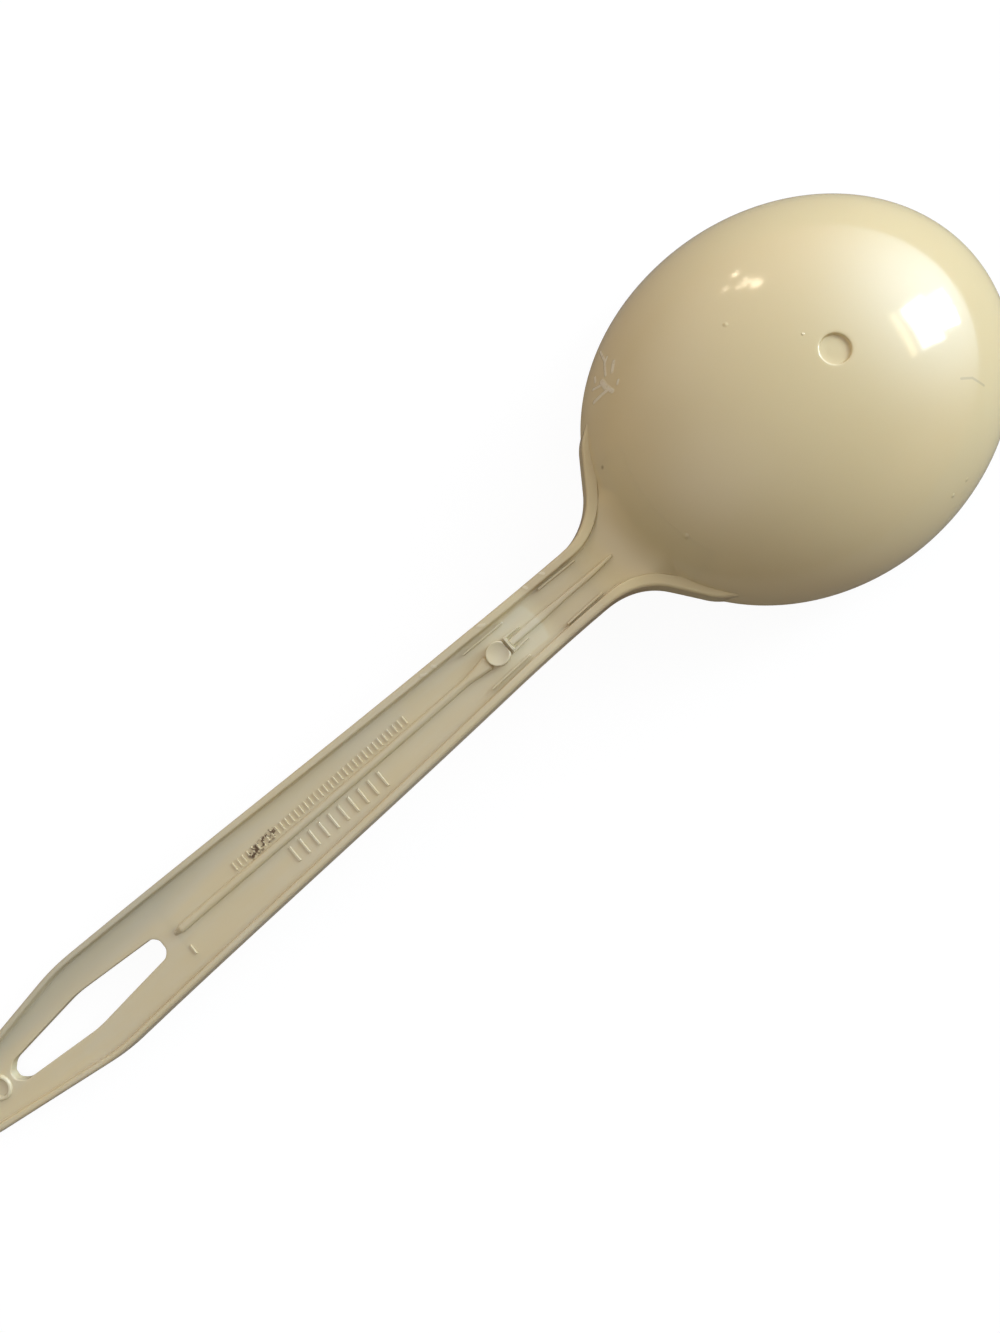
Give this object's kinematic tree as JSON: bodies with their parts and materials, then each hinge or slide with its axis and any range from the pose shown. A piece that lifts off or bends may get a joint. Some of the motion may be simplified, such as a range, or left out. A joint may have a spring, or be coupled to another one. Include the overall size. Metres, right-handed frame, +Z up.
{
  "type": "ladle",
  "caption": "One-piece moulded plastic ladle: an oval bowl and a long flat handle with edge rails, a centre rib and a lens-shaped hanging hole.",
  "frame": {"origin": "middle of the ladle's length and width, at the level of the table that it lies on face down", "axes": "+X along the handle from the tail to the bowl, +Z up, out of the bowl's rounded back"},
  "size_m": [0.31, 0.086, 0.0342],
  "materials": {
    "cream_plastic": "polished moulding with small mould marks and light scratches"
  },
  "bodies": {
    "root": {"bowl": "cream_plastic", "neck": "cream_plastic", "shaft": "cream_plastic", "hanging_loop": "cream_plastic", "left_rail": "cream_plastic", "right_rail": "cream_plastic", "centre_rib": "cream_plastic", "neck_rib": "cream_plastic", "gate_pad": "cream_plastic", "gate_ridges": "cream_plastic", "inner_beads": "cream_plastic", "tail_ring": "cream_plastic", "grip_ticks": "cream_plastic"}
  },
  "joints": []
}
